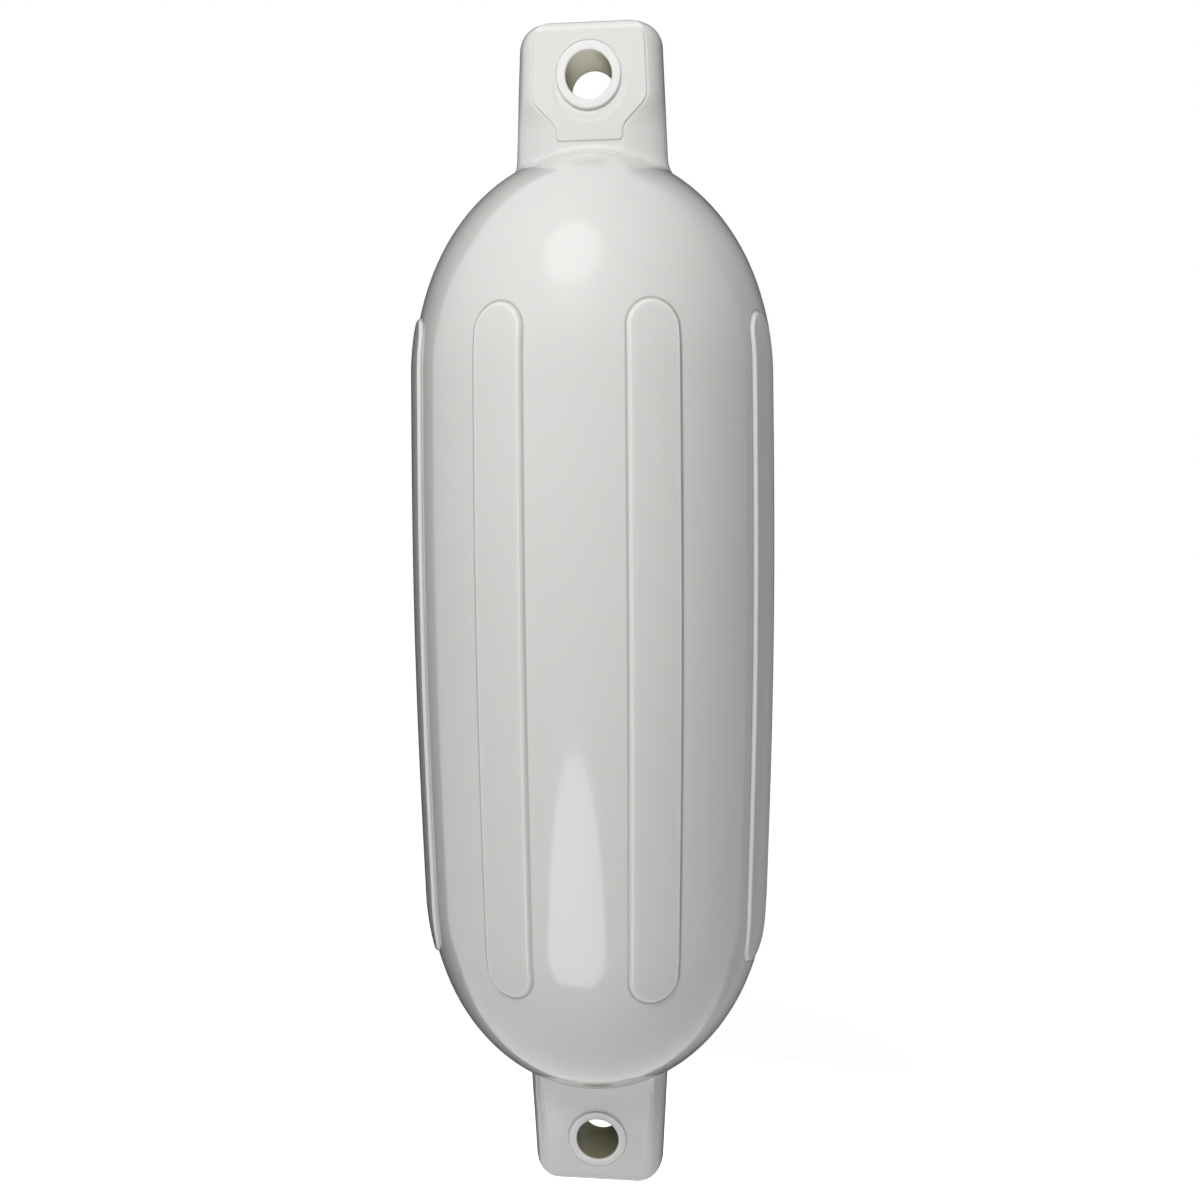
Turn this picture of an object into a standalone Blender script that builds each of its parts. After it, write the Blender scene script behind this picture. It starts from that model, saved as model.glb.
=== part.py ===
"""Boat fender: an inflated, ribbed vinyl fender with a rope eye in a flat lug at each end.

Units are metres and +Z is up. The fender hangs by its upper eye, whose centre is the origin.
The front faces -Y. The two ends are alike, and the inflation valve is at the back of the top.
Heights in the functions below are measured from the fender's mid-length.
"""

import math

import bmesh
import bpy
from mathutils import Vector

# The barrel and its domed ends
OVERALL_LENGTH = 0.559
BODY_RADIUS = 0.0832
BARREL_HALF = 0.124
DOME_DEPTH = 0.100
SWELL = 0.0024
SWELL_REACH = 0.160
BODY_SEGMENTS = 48
BARREL_ROWS = 6
DOME_ROWS = 10
DOME_CAP_RADIUS = 0.006

# The ribs: low raised bars with round ends, which follow the swell of the barrel
RIB_COUNT = 8
RIB_HALF_WIDTH = 0.0118
RIB_END = 0.149
RIB_HEIGHT = 0.0013
RIB_WALL = 0.0022
RIB_ROOT_SHARE = 1.0
RIB_ROOT_DEPTH = 0.007
RIB_STRAIGHT_STEPS = 12
RIB_ROUND_STEPS = 8

# The lugs: flat on both faces, rounded at the sides and at the tip, and filleted into the domes
LUG_TIP = OVERALL_LENGTH / 2
LUG_ROOT = 0.207
LUG_TIP_HALF_WIDTH = 0.0322
LUG_SIDE_TAPER = 0.048
LUG_HALF_THICKNESS = 0.0130
LUG_CORNER_RADIUS = 0.0095
LUG_EDGE_RADIUS = 0.0055
LUG_SIDE_FILLET = 0.014
LUG_FACE_FILLET = 0.004
FLAT_STEPS = 2
SIDE_STEPS = 6
ROUNDING_STEPS = 4

# The pad: the flat shield on each face of a lug, which narrows above the dome and ends in a low step
PAD_MARGIN = 0.0078
PAD_FOOT_HALF_WIDTH = 0.0150
PAD_FOOT = 0.227
PAD_STEP = 0.0009
PAD_STEP_RUN = 0.0004
SHOULDER_LOW = 0.2315
SHOULDER_HIGH = 0.2475
SHOULDER_STEPS = 5

# The rope eyes: a round hole through each lug, with a raised rim and a shallow dish round it
EYE_HEIGHT = 0.2553
EYE_RADIUS = 0.0100
EYE_RIM_RADIUS = 0.0142
EYE_RIM_HEIGHT = 0.0012
EYE_SEGMENTS = 32
DISH_RADIUS = 0.0158
DISH_SHIFT = 0.0033
DISH_DEPTH = 0.0005

# The inflation valve: a rubber plug in a pocket, with a low collar round it
VALVE_HEIGHT = 0.195
VALVE_RADIUS = 0.0062
VALVE_LENGTH = 0.0050
VALVE_CHAMFER = 0.0006
NEEDLE_MOUTH_RADIUS = 0.0026
NEEDLE_HOLE_RADIUS = 0.0009
NEEDLE_FUNNEL_DEPTH = 0.0010
NEEDLE_HOLE_DEPTH = 0.0032
COLLAR_RADIUS = 0.0100
COLLAR_HEIGHT = 0.0010
COLLAR_ROOT = 0.006
FIT_GAP = 0.0003
VALVE_SEGMENTS = 24

VINYL_WHITE = (0.80, 0.80, 0.78)
RUBBER_GREY = (0.46, 0.46, 0.45)


def clear_scene():
    for old in list(bpy.data.objects):
        bpy.data.objects.remove(old, do_unlink=True)


def make_material(name, colour, roughness):
    material = bpy.data.materials.new(name)
    material.use_nodes = True
    shader = material.node_tree.nodes["Principled BSDF"]
    shader.inputs["Base Color"].default_value = (*colour, 1.0)
    shader.inputs["Roughness"].default_value = roughness
    shader.inputs["Metallic"].default_value = 0.0
    return material


def make_object(name, points, faces, parent, collection=None):
    """A closed mesh object on its parent, with its faces turned outwards."""
    mesh = bpy.data.meshes.new(name)
    shape = bmesh.new()
    corners = [shape.verts.new(point) for point in points]
    for face in faces:
        shape.faces.new([corners[index] for index in face])
    bmesh.ops.recalc_face_normals(shape, faces=shape.faces)
    shape.to_mesh(mesh)
    shape.free()
    made = bpy.data.objects.new(name, mesh)
    (collection or bpy.context.scene.collection).objects.link(made)
    made.parent = parent
    return made


def make_tool_collection(name):
    collection = bpy.data.collections.new(name)
    bpy.context.scene.collection.children.link(collection)
    return collection


def make_tool(name, points, faces, parent, collection):
    """A solid that the fender's mould adds or takes away. It is a guide, not a part of its own."""
    tool = make_object(name, points, faces, parent, collection)
    tool.hide_render = True
    tool.display_type = "WIRE"
    return tool


def loft(rings):
    """Points and faces of a solid through equal rings of points, closed by a flat cap at both ends."""
    count = len(rings[0])
    points = [point for ring in rings for point in ring]
    faces = [tuple(range(count)), tuple(range(len(points) - count, len(points)))]
    for level in range(len(rings) - 1):
        for index in range(count):
            following = (index + 1) % count
            lower, upper = level * count, (level + 1) * count
            faces.append((lower + index, lower + following, upper + following, upper + index))
    return points, faces


def turned(profile, segments):
    """Rings of a turned shape, one for each (radius, height) of its profile."""
    angles = [2 * math.pi * (index + 0.5) / segments for index in range(segments)]
    return [[(radius * math.sin(a), -radius * math.cos(a), height) for a in angles] for radius, height in profile]


def quarter_turn(steps):
    return [math.pi / 2 * step / steps for step in range(steps + 1)]


def smooth(value):
    value = min(max(value, 0.0), 1.0)
    return value * value * (3 - 2 * value)


def swell(height):
    """Extra radius of the inflated barrel, greatest at mid-length."""
    return SWELL * max(1 - (height / SWELL_REACH) ** 2, 0.0)


def body_radius(height):
    into_dome = min(max(abs(height) - BARREL_HALF, 0.0) / DOME_DEPTH, 1.0)
    return (BODY_RADIUS + swell(height)) * math.sqrt(1 - into_dome ** 2)


def barrel():
    """The barrel with its two domes, each dome capped where its lug covers it."""
    last_angle = math.acos(DOME_CAP_RADIUS / BODY_RADIUS)
    dome = [BARREL_HALF + DOME_DEPTH * math.sin(last_angle * step / DOME_ROWS) for step in range(DOME_ROWS + 1)]
    middle = [BARREL_HALF * (2 * row / BARREL_ROWS - 1) for row in range(1, BARREL_ROWS)]
    heights = [-height for height in reversed(dome)] + middle + dome
    return loft(turned([(body_radius(height), height) for height in heights], BODY_SEGMENTS))


def rib_outline(inset):
    """The rib's round-ended outline, as (across, height), moved in by the inset."""
    half_width = RIB_HALF_WIDTH - inset
    straight = RIB_END - RIB_HALF_WIDTH
    side = [straight * (2 * step / RIB_STRAIGHT_STEPS - 1) for step in range(RIB_STRAIGHT_STEPS)]
    turn = [math.pi * step / RIB_ROUND_STEPS for step in range(RIB_ROUND_STEPS)]
    upwards = [(half_width, height) for height in side]
    top = [(half_width * math.cos(a), straight + half_width * math.sin(a)) for a in turn]
    return upwards + top + [(-across, -height) for across, height in upwards + top]


def rib_spine_index(index):
    """Which point of the rib's middle line the outline's point belongs to."""
    half = RIB_STRAIGHT_STEPS + RIB_ROUND_STEPS
    along = min(index % half, RIB_STRAIGHT_STEPS)
    return along if index % (2 * half) < half else RIB_STRAIGHT_STEPS - along


def rib(centre_angle):
    """One rib as a solid: sloping walls, a crest of constant height and a root sunk in the barrel."""

    def place(across, height, radius):
        angle = centre_angle + across / BODY_RADIUS
        return Vector((radius * math.sin(angle), -radius * math.cos(angle), height))

    def crest_radius(height):
        return body_radius(height) + RIB_HEIGHT

    foot = [place(across, height, body_radius(height)) for across, height in rib_outline(0.0)]
    crest = [place(across, height, crest_radius(height)) for across, height in rib_outline(RIB_WALL)]
    root = [low + (low - high) * RIB_ROOT_SHARE for low, high in zip(foot, crest)]
    straight = RIB_END - RIB_HALF_WIDTH
    along = [straight * (2 * step / RIB_STRAIGHT_STEPS - 1) for step in range(RIB_STRAIGHT_STEPS + 1)]
    crest_spine = [place(0.0, height, crest_radius(height)) for height in along]
    root_spine = [place(0.0, height, body_radius(height) - RIB_ROOT_DEPTH) for height in along]

    count = len(foot)
    crest_start, crest_line_start = count, 2 * count
    root_line_start = crest_line_start + len(along)
    faces = []
    for index in range(count):
        following = (index + 1) % count
        here, there = rib_spine_index(index), rib_spine_index(following)
        faces.append((index, following, crest_start + following, crest_start + index))
        for edge_start, line_start in ((crest_start, crest_line_start), (0, root_line_start)):
            face = [edge_start + index, edge_start + following, line_start + there]
            if here != there:
                face.append(line_start + here)
            faces.append(tuple(face))
    return root + crest + crest_spine + root_spine, faces


def fillet_top(half_size, fillet):
    """Height at which a fillet leaves a lug's side to land flush on the dome, and the angle it turns."""
    angle = math.pi / 3
    for _ in range(20):
        reach = half_size + fillet * (1 - math.cos(angle))
        latitude = math.acos(reach / BODY_RADIUS)
        angle = math.atan2(BODY_RADIUS * math.sin(latitude), DOME_DEPTH * math.cos(latitude))
    return BARREL_HALF + DOME_DEPTH * math.sin(latitude) + fillet * math.sin(angle), angle


def rounded_off(height, radius):
    """How far a rounding of the lug's tip has drawn its outline in at this height."""
    above = max(height - (LUG_TIP - radius), 0.0)
    return radius - math.sqrt(max(radius ** 2 - above ** 2, 0.0))


def flared_out(height, top, angle, fillet):
    """How far a fillet at the lug's root has spread its outline at this height."""
    below = min(max(top - height, 0.0), fillet * math.sin(angle))
    return fillet - math.sqrt(fillet ** 2 - below ** 2)


def straight_half_width(height):
    return LUG_TIP_HALF_WIDTH + LUG_SIDE_TAPER * (LUG_TIP - height)


SIDE_FILLET_TOP, SIDE_FILLET_ANGLE = fillet_top(straight_half_width(LUG_ROOT), LUG_SIDE_FILLET)
FACE_FILLET_TOP, FACE_FILLET_ANGLE = fillet_top(LUG_HALF_THICKNESS - PAD_STEP, LUG_FACE_FILLET)


def lug_half_width(height):
    flare = flared_out(height, SIDE_FILLET_TOP, SIDE_FILLET_ANGLE, LUG_SIDE_FILLET)
    return straight_half_width(height) + flare - rounded_off(height, LUG_CORNER_RADIUS)


def lug_half_thickness(height):
    step = PAD_STEP * min(max((PAD_FOOT - height) / PAD_STEP_RUN, 0.0), 1.0)
    flare = flared_out(height, FACE_FILLET_TOP, FACE_FILLET_ANGLE, LUG_FACE_FILLET)
    return LUG_HALF_THICKNESS - step + flare - rounded_off(height, LUG_EDGE_RADIUS)


def pad_half_width(height):
    """Half width of the flat pad: nearly the lug's own, then drawn in at the shoulders."""
    full = lug_half_width(height) - PAD_MARGIN
    share = smooth((height - SHOULDER_LOW) / (SHOULDER_HIGH - SHOULDER_LOW))
    return PAD_FOOT_HALF_WIDTH + (full - PAD_FOOT_HALF_WIDTH) * share


def lug_ring(height):
    """The lug's outline at this height: two flats joined by round sides."""
    half_width, half_thickness = lug_half_width(height), lug_half_thickness(height)
    flat = pad_half_width(height)
    side = half_width - flat
    quarter = [(flat * step / FLAT_STEPS, half_thickness) for step in range(FLAT_STEPS)]
    for angle in quarter_turn(SIDE_STEPS):
        quarter.append((flat + side * math.sin(angle), half_thickness * math.cos(angle)))
    right = quarter + [(x, -y) for x, y in reversed(quarter[:-1])]
    left = [(-x, -y) for x, y in right[1:-1]]
    return [(x, y, height) for x, y in right + left]


def lug_heights():
    """Levels at which the lug's outline is drawn: every place where its shape turns."""
    heights = [LUG_ROOT, PAD_FOOT - PAD_STEP_RUN, PAD_FOOT]
    for top, angle, fillet in ((SIDE_FILLET_TOP, SIDE_FILLET_ANGLE, LUG_SIDE_FILLET),
                               (FACE_FILLET_TOP, FACE_FILLET_ANGLE, LUG_FACE_FILLET)):
        for step in range(ROUNDING_STEPS + 1):
            heights.append(top - fillet * math.sin(angle * step / ROUNDING_STEPS))
    for step in range(SHOULDER_STEPS + 1):
        heights.append(SHOULDER_LOW + (SHOULDER_HIGH - SHOULDER_LOW) * step / SHOULDER_STEPS)
    for radius in (LUG_CORNER_RADIUS, LUG_EDGE_RADIUS):
        for angle in quarter_turn(ROUNDING_STEPS):
            heights.append(LUG_TIP - radius + radius * math.sin(angle))
    return sorted({round(height, 6) for height in heights})


def lug(end):
    """The lug at the upper end (1) or the lower end (-1)."""
    return loft([[(x, y, end * z) for x, y, z in lug_ring(height)] for height in lug_heights()])


def cross_pin(radius, start, stop, height):
    """A round pin that lies across the lug, from one depth along Y to another."""
    rings = turned([(radius, start), (radius, stop)], EYE_SEGMENTS)
    return loft([[(x, z, height + y) for x, y, z in ring] for ring in rings])


def valve_seat_pose(mid_length):
    """Where the valve sits on the back of the upper dome, and the way it faces."""
    latitude = math.asin((VALVE_HEIGHT - BARREL_HALF) / DOME_DEPTH)
    radius = BODY_RADIUS * math.cos(latitude)
    outward = Vector((0.0, math.cos(latitude) / BODY_RADIUS, math.sin(latitude) / DOME_DEPTH))
    location = mid_length + Vector((0.0, radius, VALVE_HEIGHT))
    return location, outward.to_track_quat("Z", "Y").to_euler()


def make_empty(name, location, rotation=(0.0, 0.0, 0.0)):
    empty = bpy.data.objects.new(name, None)
    bpy.context.scene.collection.objects.link(empty)
    empty.location = location
    empty.rotation_euler = rotation
    return empty


def make_ribs(parent):
    ribs = make_tool_collection("ribs")
    for index in range(RIB_COUNT):
        centre_angle = 2 * math.pi * (index + 0.5) / RIB_COUNT
        make_tool(f"rib_{index + 1}", *rib(centre_angle), parent, ribs)
    return ribs


def make_lug_tools(parent):
    """The lugs, the dishes round their eyes, the eyes' rims and the pins that core the eyes."""
    lugs, dishes, rims, pins = (make_tool_collection(name) for name in ("lugs", "dishes", "rims", "pins"))
    rim_reach = LUG_HALF_THICKNESS + EYE_RIM_HEIGHT
    pin_reach = 2 * LUG_HALF_THICKNESS
    for end, label in ((1, "upper"), (-1, "lower")):
        eye = end * EYE_HEIGHT
        make_tool(f"{label}_lug", *lug(end), parent, lugs)
        for face, side in ((-1, "front"), (1, "back")):
            floor = face * (LUG_HALF_THICKNESS - DISH_DEPTH)
            dish = cross_pin(DISH_RADIUS, floor, face * pin_reach, eye - end * DISH_SHIFT)
            make_tool(f"{label}_{side}_dish", *dish, parent, dishes)
        make_tool(f"{label}_rim", *cross_pin(EYE_RIM_RADIUS, -rim_reach, rim_reach, eye), parent, rims)
        make_tool(f"{label}_pin", *cross_pin(EYE_RADIUS, -pin_reach, pin_reach, eye), parent, pins)
    return lugs, dishes, rims, pins


def make_valve_tools(seat, rims, pins):
    collar = [(COLLAR_RADIUS, -COLLAR_ROOT), (COLLAR_RADIUS, 0.0), (COLLAR_RADIUS - COLLAR_HEIGHT, COLLAR_HEIGHT)]
    pocket_radius = VALVE_RADIUS + FIT_GAP
    pocket = [(pocket_radius, COLLAR_HEIGHT - VALVE_LENGTH - 2 * FIT_GAP), (pocket_radius, 2 * COLLAR_HEIGHT)]
    make_tool("valve_collar", *loft(turned(collar, VALVE_SEGMENTS)), seat, rims)
    make_tool("valve_pocket", *loft(turned(pocket, VALVE_SEGMENTS)), seat, pins)


def add_boolean(target, operation, collection):
    modifier = target.modifiers.new(f"{operation.lower()} {collection.name}", "BOOLEAN")
    modifier.operation = operation
    modifier.solver = "EXACT"
    modifier.operand_type = "COLLECTION"
    modifier.collection = collection


def shade_round(made, sharp_degrees):
    made.data.shade_smooth()
    made.data.set_sharp_from_angle(angle=math.radians(sharp_degrees))


def make_fender_body(fender, seat):
    """The whole moulding: barrel, ribs, lugs, rims and valve collar in one piece of vinyl."""
    body = make_object("fender_body", *barrel(), fender)
    body.data.materials.append(make_material("white_vinyl", VINYL_WHITE, 0.25))
    ribs = make_ribs(fender)
    lugs, dishes, rims, pins = make_lug_tools(fender)
    make_valve_tools(seat, rims, pins)
    add_boolean(body, "UNION", ribs)
    add_boolean(body, "UNION", lugs)
    add_boolean(body, "DIFFERENCE", dishes)
    add_boolean(body, "UNION", rims)
    add_boolean(body, "DIFFERENCE", pins)
    shade_round(body, 25)


def make_inflation_valve(seat):
    """The rubber plug: flush with its collar, with a funnel and a blind hole for the pump's needle."""
    top = COLLAR_HEIGHT - FIT_GAP
    bottom = top - VALVE_LENGTH
    profile = [(VALVE_RADIUS - VALVE_CHAMFER, bottom), (VALVE_RADIUS, bottom + VALVE_CHAMFER),
               (VALVE_RADIUS, top - VALVE_CHAMFER), (VALVE_RADIUS - VALVE_CHAMFER, top),
               (NEEDLE_MOUTH_RADIUS, top), (NEEDLE_HOLE_RADIUS, top - NEEDLE_FUNNEL_DEPTH),
               (NEEDLE_HOLE_RADIUS, top - NEEDLE_HOLE_DEPTH)]
    valve = make_object("inflation_valve", *loft(turned(profile, VALVE_SEGMENTS)), seat)
    valve.data.materials.append(make_material("grey_rubber", RUBBER_GREY, 0.6))
    shade_round(valve, 30)


clear_scene()
mid_length_point = Vector((0.0, 0.0, -EYE_HEIGHT))
fender_frame = make_empty("fender", mid_length_point)
valve_seat = make_empty("valve_seat", *valve_seat_pose(mid_length_point))
make_fender_body(fender_frame, valve_seat)
make_inflation_valve(valve_seat)
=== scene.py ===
"""Boat fender, dressed for its picture: an inflated white vinyl fender with ribs and a rope eye at each end.

Everything is in metres in the part's own frame: the origin is the centre of the upper eye, +Z runs up the
fender and its front faces -Y. Heights of the moulding are measured from the fender's mid-length.
"""
import math

import bmesh
import bpy
import numpy as np
from mathutils import Matrix, Vector


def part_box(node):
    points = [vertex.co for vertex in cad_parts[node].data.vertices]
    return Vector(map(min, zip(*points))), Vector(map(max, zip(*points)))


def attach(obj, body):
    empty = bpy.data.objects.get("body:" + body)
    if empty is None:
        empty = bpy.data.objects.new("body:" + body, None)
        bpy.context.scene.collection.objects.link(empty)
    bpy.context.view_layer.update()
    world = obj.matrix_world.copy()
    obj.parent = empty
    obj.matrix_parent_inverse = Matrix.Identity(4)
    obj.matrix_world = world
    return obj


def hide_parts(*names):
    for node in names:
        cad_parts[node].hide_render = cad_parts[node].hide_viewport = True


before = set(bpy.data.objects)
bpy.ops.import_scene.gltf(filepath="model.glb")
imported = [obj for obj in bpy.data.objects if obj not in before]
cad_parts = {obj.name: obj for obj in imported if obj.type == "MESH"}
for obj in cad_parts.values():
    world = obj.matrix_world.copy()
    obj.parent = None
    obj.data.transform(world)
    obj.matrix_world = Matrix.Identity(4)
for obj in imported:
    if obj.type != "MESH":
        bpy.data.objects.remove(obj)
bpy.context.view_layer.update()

# The ribbed barrel, in white vinyl. Blown up tight, it swells at mid-length, and eight raised ribs with round
# ends are moulded along it to take the rubbing. The eight sectors are alike: one flat sheet, laid out round
# its rib, is bent to the barrel and repeated.
body_low, body_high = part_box("fender_body")
overall_length = body_high.z - body_low.z
mid_height = (body_high.z + body_low.z) / 2
barrel_radius = 0.0832
barrel_half = 0.124
dome_depth = 0.100
swell = 0.0024
swell_reach = 0.160
rib_count = 8
rib_half_width = 0.0118
rib_end = 0.149
rib_height = 0.0015
rib_wall = 0.0017
foot_line_width = 0.00045
edge_line_width = 0.0006
sheet_half_width = math.pi * barrel_radius / rib_count
sheet_end = 0.165
steps_across = 32
steps_along = 36


def eased_line(limit, steps):
    """Places from -limit to just short of +limit, closer together towards both ends."""
    spread = 1.25
    return [limit * math.sin(spread * (2 * step / steps - 1)) / math.sin(spread) for step in range(steps)]


def rib_loop(inset):
    """The rib's outline, moved in by the inset: up the right side, round the top, and back by the bottom."""
    radius = rib_half_width - inset
    straight = rib_end - rib_half_width
    right = [(radius, height) for height in eased_line(straight, steps_along)]
    turn = [math.pi * step / steps_across for step in range(steps_across)]
    top = [(radius * math.cos(angle), straight + radius * math.sin(angle)) for angle in turn]
    return np.array(right + top + [(-across, -height) for across, height in right + top])


def sheet_border():
    """The sector's edge, with a point for each point of the rib's outline."""
    right = [(sheet_half_width, height) for height in eased_line(sheet_end, steps_along)]
    top = [(sheet_half_width * (1 - 2 * step / steps_across), sheet_end) for step in range(steps_across)]
    return np.array(right + top + [(-across, -height) for across, height in right + top])


def sector_sheet():
    """A flat sheet of loops from the sector's edge to the rib's middle line."""
    foot_margin = 0.0008
    shares_to_foot = (0.0, 0.2, 0.4, 0.6, 0.8, 0.93)
    outer, near_foot = sheet_border(), rib_loop(-foot_margin)
    loops = [outer + (near_foot - outer) * share for share in shares_to_foot]
    wall = np.linspace(-foot_margin, rib_wall + foot_margin, 15)
    crest = np.linspace(rib_wall + foot_margin, rib_half_width, 6)[1:]
    loops += [rib_loop(inset) for inset in (*wall, *crest)]
    count = len(outer)
    points = [(across, height, 0.0) for loop in loops for across, height in loop]
    faces = []
    for level in range(len(loops) - 1):
        for index in range(count):
            following = (index + 1) % count
            lower, upper = level * count, (level + 1) * count
            faces.append((lower + index, lower + following, upper + following, upper + index))
    mesh = bpy.data.meshes.new("sector sheet")
    mesh.from_pydata(points, [], faces)
    sheet = bpy.data.objects.new("sector sheet", mesh)
    bpy.context.scene.collection.objects.link(sheet)
    return sheet


def ribbed_barrel_tree():
    """Bends the flat sheet to the barrel, raises its rib, and repeats it round the fender."""
    weld_gap = 0.00001
    tree = bpy.data.node_groups.new("Ribbed barrel", "GeometryNodeTree")
    interface = tree.interface
    interface.new_socket("Sheet", in_out="INPUT", socket_type="NodeSocketGeometry")
    sizes = ("Barrel radius", "Barrel half length", "Dome depth", "Swell", "Swell reach",
             "Rib height", "Rib half width", "Rib straight half length", "Rib wall")
    for name in sizes:
        interface.new_socket(name, in_out="INPUT", socket_type="NodeSocketFloat")
    interface.new_socket("Rib count", in_out="INPUT", socket_type="NodeSocketInt")
    interface.new_socket("Vinyl", in_out="INPUT", socket_type="NodeSocketMaterial")
    interface.new_socket("Barrel", in_out="OUTPUT", socket_type="NodeSocketGeometry")
    nodes, links = tree.nodes, tree.links
    given = nodes.new("NodeGroupInput").outputs
    result = nodes.new("NodeGroupOutput").inputs["Barrel"]

    def feed(socket, value):
        if isinstance(value, bpy.types.NodeSocket):
            links.new(value, socket)
        else:
            socket.default_value = value

    def maths(operation, first, second=0.0):
        node = nodes.new("ShaderNodeMath")
        node.operation = operation
        feed(node.inputs[0], first)
        feed(node.inputs[1], second)
        return node.outputs[0]

    place = nodes.new("ShaderNodeSeparateXYZ")
    links.new(nodes.new("GeometryNodeInputPosition").outputs[0], place.inputs[0])
    across, height = place.outputs[0], place.outputs[1]
    above = maths("ABSOLUTE", height)

    far_share = maths("MINIMUM", maths("DIVIDE", above, given["Swell reach"]), 1.0)
    near_share = maths("SUBTRACT", 1.0, maths("POWER", far_share, 2.0))
    swelling = maths("MULTIPLY", given["Swell"], maths("POWER", near_share, 1.5))
    full_radius = maths("ADD", given["Barrel radius"], swelling)
    past_barrel = maths("MAXIMUM", maths("SUBTRACT", above, given["Barrel half length"]), 0.0)
    into_dome = maths("DIVIDE", past_barrel, given["Dome depth"])
    round_share = maths("SQRT", maths("SUBTRACT", 1.0, maths("POWER", into_dome, 2.0)))
    skin = maths("MULTIPLY", full_radius, round_share)

    past_straight = maths("MAXIMUM", maths("SUBTRACT", above, given["Rib straight half length"]), 0.0)
    across_squared = maths("POWER", maths("ABSOLUTE", across), 2.0)
    to_line = maths("SQRT", maths("ADD", across_squared, maths("POWER", past_straight, 2.0)))
    rise = nodes.new("ShaderNodeMapRange")
    rise.interpolation_type = "SMOOTHSTEP"
    feed(rise.inputs["Value"], maths("SUBTRACT", given["Rib half width"], to_line))
    feed(rise.inputs["From Max"], given["Rib wall"])
    radius = maths("ADD", skin, maths("MULTIPLY", given["Rib height"], rise.outputs[0]))

    angle = maths("DIVIDE", across, given["Barrel radius"])
    bent = nodes.new("ShaderNodeCombineXYZ")
    feed(bent.inputs[0], maths("MULTIPLY", radius, maths("SINE", angle)))
    feed(bent.inputs[1], maths("MULTIPLY", maths("MULTIPLY", radius, maths("COSINE", angle)), -1.0))
    feed(bent.inputs[2], height)
    bend = nodes.new("GeometryNodeSetPosition")
    links.new(given["Sheet"], bend.inputs["Geometry"])
    links.new(bent.outputs[0], bend.inputs["Position"])

    hub = nodes.new("GeometryNodeMeshLine")
    hub.inputs["Offset"].default_value = (0.0, 0.0, 0.0)
    links.new(given["Rib count"], hub.inputs["Count"])
    half_step_on = maths("ADD", nodes.new("GeometryNodeInputIndex").outputs[0], 0.5)
    turn = maths("MULTIPLY", half_step_on, maths("DIVIDE", 2 * math.pi, given["Rib count"]))
    facing = nodes.new("ShaderNodeCombineXYZ")
    links.new(turn, facing.inputs[2])
    ring = nodes.new("GeometryNodeInstanceOnPoints")
    links.new(hub.outputs[0], ring.inputs["Points"])
    links.new(bend.outputs[0], ring.inputs["Instance"])
    links.new(facing.outputs[0], ring.inputs["Rotation"])
    real = nodes.new("GeometryNodeRealizeInstances")
    links.new(ring.outputs[0], real.inputs[0])
    weld = nodes.new("GeometryNodeMergeByDistance")
    weld.inputs["Distance"].default_value = weld_gap
    links.new(real.outputs[0], weld.inputs["Geometry"])
    paint = nodes.new("GeometryNodeSetMaterial")
    links.new(weld.outputs[0], paint.inputs["Geometry"])
    links.new(given["Vinyl"], paint.inputs["Material"])
    links.new(paint.outputs[0], result)
    return tree


def made_by_nodes(source, tree, values):
    """The plain mesh that a node tree makes of the source object, which is then removed."""
    modifier = source.modifiers.new(tree.name, "NODES")
    modifier.node_group = tree
    for item in tree.interface.items_tree:
        if item.in_out == "INPUT" and item.name in values:
            modifier[item.identifier] = values[item.name]
    evaluated = source.evaluated_get(bpy.context.evaluated_depsgraph_get())
    mesh = bpy.data.meshes.new_from_object(evaluated)
    source.modifiers.remove(modifier)
    bpy.data.objects.remove(source)
    return mesh


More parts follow.
